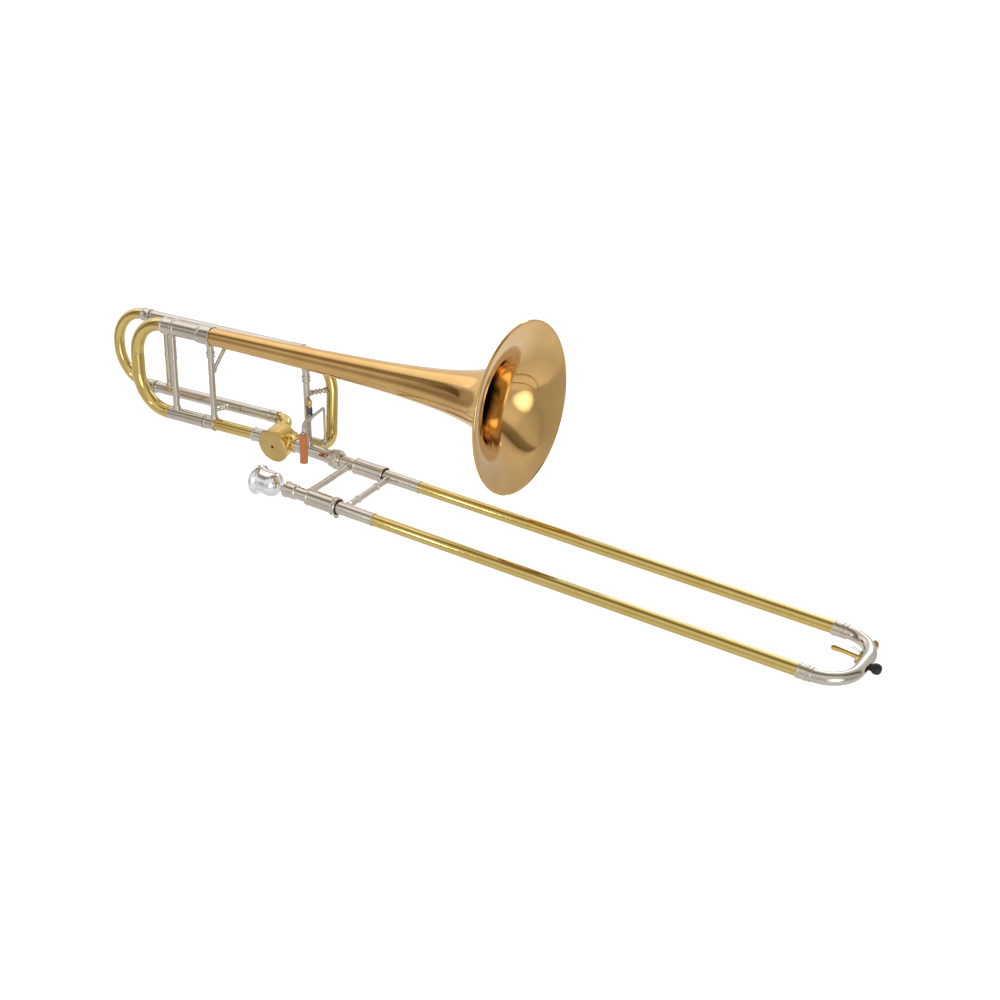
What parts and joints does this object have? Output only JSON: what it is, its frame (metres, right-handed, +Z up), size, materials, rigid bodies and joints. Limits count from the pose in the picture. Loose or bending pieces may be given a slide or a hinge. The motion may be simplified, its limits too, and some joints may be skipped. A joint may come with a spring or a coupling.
{
  "type": "trombone",
  "caption": "Tenor slide trombone with an F attachment: flared bell, rotary valve with thumb lever, tuning slides and a telescoping hand slide.",
  "frame": {"origin": "middle of the grip post that the left hand holds, halfway between the bell and the slide receiver", "axes": "+X forward along the bell's axis, +Y to the player's left, +Z up"},
  "size_m": [1.188, 0.2289, 0.3041],
  "materials": {
    "rose_brass": "bright lacquer",
    "yellow_brass": "bright lacquer",
    "gold_lacquer": "satin lacquer",
    "nickel_silver": "polished nickel silver",
    "chromed_tube": "chromed",
    "silver_plate": "silver plated",
    "steel": "satin",
    "blued_steel": "satin",
    "brown_leather": "worn",
    "black_rubber": "matt",
    "cork": "matt"
  },
  "bodies": {
    "bell_section": {"bell": "rose_brass", "bell_ferrule": "nickel_silver", "neck_tube": "nickel_silver", "main_inner_leg": "nickel_silver", "inlet_rear_ferrule": "nickel_silver", "valve_inlet_tube": "yellow_brass", "inlet_front_ferrule": "nickel_silver", "valve_casing": "gold_lacquer", "valve_cap": "gold_lacquer", "front_bearing_plate": "gold_lacquer", "rear_bearing_plate": "gold_lacquer", "f_upper_tube": "nickel_silver", "f_lower_tube": "nickel_silver", "front_crook": "yellow_brass", "rear_elbow": "yellow_brass", "return_elbow": "yellow_brass", "slide_receiver": "nickel_silver", "tail_brace": "nickel_silver", "grip_brace": "nickel_silver", "f_section_braces": "nickel_silver", "trigger_bracket": "gold_lacquer", "lever_hinge_pin": "steel", "torsion_spring": "blued_steel", "stop_bumpers": "black_rubber", "f_leg_brace": "nickel_silver"},
    "rotor_body": {"rotor": "yellow_brass", "stop_arm": "gold_lacquer"},
    "lever_body": {"thumb_lever": "nickel_silver", "thumb_roller": "brown_leather"},
    "link_body": {"link_rod": "steel"},
    "main_slide_body": {"main_crook": "yellow_brass", "main_slide_ferrule": "nickel_silver", "main_upper_leg": "nickel_silver", "main_lower_leg": "nickel_silver", "main_slide_brace": "nickel_silver"},
    "f_slide_body": {"f_crook": "yellow_brass", "f_slide_ferrules": "nickel_silver", "f_slide_legs": "nickel_silver"},
    "lock_nut_body": {"bell_lock_nut": "nickel_silver"},
    "inner_slide": {"slide_tenon": "nickel_silver", "far_barrel": "nickel_silver", "near_barrel": "nickel_silver", "mouthpiece_receiver": "nickel_silver", "leadpipe": "nickel_silver", "inner_tubes": "chromed_tube", "inner_brace": "nickel_silver", "barrel_corks": "cork"},
    "lock_ring_body": {"slide_lock_ring": "nickel_silver"},
    "outer_slide": {"outer_sleeves": "nickel_silver", "outer_tubes": "yellow_brass", "outer_brace": "nickel_silver", "slide_ferrules": "nickel_silver", "slide_bow": "nickel_silver", "bow_fittings": "nickel_silver", "rubber_bumper": "black_rubber", "water_key_pin": "steel", "water_key_spring": "steel"},
    "water_key_body": {"water_key": "gold_lacquer", "water_key_cork": "cork"},
    "mouthpiece_body": {"mouthpiece": "silver_plate"}
  },
  "joints": [
    {"name": "main_tuning_pull", "type": "slide", "parent": "bell_section", "child": "main_slide_body", "axis": [-1, 0, 0], "range_m": [0, 0.045]},
    {"name": "f_tuning_pull", "type": "slide", "parent": "bell_section", "child": "f_slide_body", "axis": [-1, 0, 0], "range_m": [0, 0.075]},
    {"name": "thumb_lever_swing", "type": "hinge", "parent": "bell_section", "child": "lever_body", "pos_m": [0.009, -0.006, 0], "axis": [0, 0, 1], "range_deg": [0, 33.8], "stiffness_Nm_per_rad": 0.15, "springref_deg": -22.92},
    {"name": "rotor_turn", "type": "hinge", "parent": "bell_section", "child": "rotor_body", "pos_m": [-0.048, 0, -0.0655], "axis": [0, -0.9848, -0.1736], "range_deg": [0, 60.01]},
    {"name": "link_pivot", "type": "hinge", "parent": "rotor_body", "child": "link_body", "pos_m": [-0.03409, 0.01439, -0.05726], "axis": [0, -0.9848, -0.1736], "range_deg": [-70.51, 0]},
    {"name": "lock_nut_turn", "type": "hinge", "parent": "bell_section", "child": "lock_nut_body", "pos_m": [0.04684, 0, -0.07027], "axis": [0.9979, 0, -0.0654], "continuous": true},
    {"name": "slide_swivel", "type": "hinge", "parent": "bell_section", "child": "inner_slide", "pos_m": [0.02389, 0, -0.06877], "axis": [0.9979, 0, -0.0654], "range_deg": [-25, 60]},
    {"name": "lock_ring_turn", "type": "hinge", "parent": "inner_slide", "child": "lock_ring_body", "pos_m": [0.11974, -0.10077, -0.08185], "axis": [0.9979, 0, -0.0654], "range_deg": [0, 50]},
    {"name": "hand_slide", "type": "slide", "parent": "inner_slide", "child": "outer_slide", "axis": [0.9979, 0, -0.0654], "range_m": [0, 0.58]},
    {"name": "water_key_lift", "type": "hinge", "parent": "outer_slide", "child": "water_key_body", "pos_m": [0.78353, -0.0259, -0.12985], "axis": [0.0044, 0.9977, 0.067], "range_deg": [0, 15], "stiffness_Nm_per_rad": 0.02, "springref_deg": -28.65},
    {"name": "mouthpiece_pull", "type": "slide", "parent": "inner_slide", "child": "mouthpiece_body", "axis": [-0.9979, 0, 0.0654], "range_m": [0, 0.03]}
  ],
  "couplings": [
    {"joint": "rotor_turn", "follows": "thumb_lever_swing", "ratio": 1.7751},
    {"joint": "link_pivot", "follows": "thumb_lever_swing", "ratio": -2.0858}
  ]
}
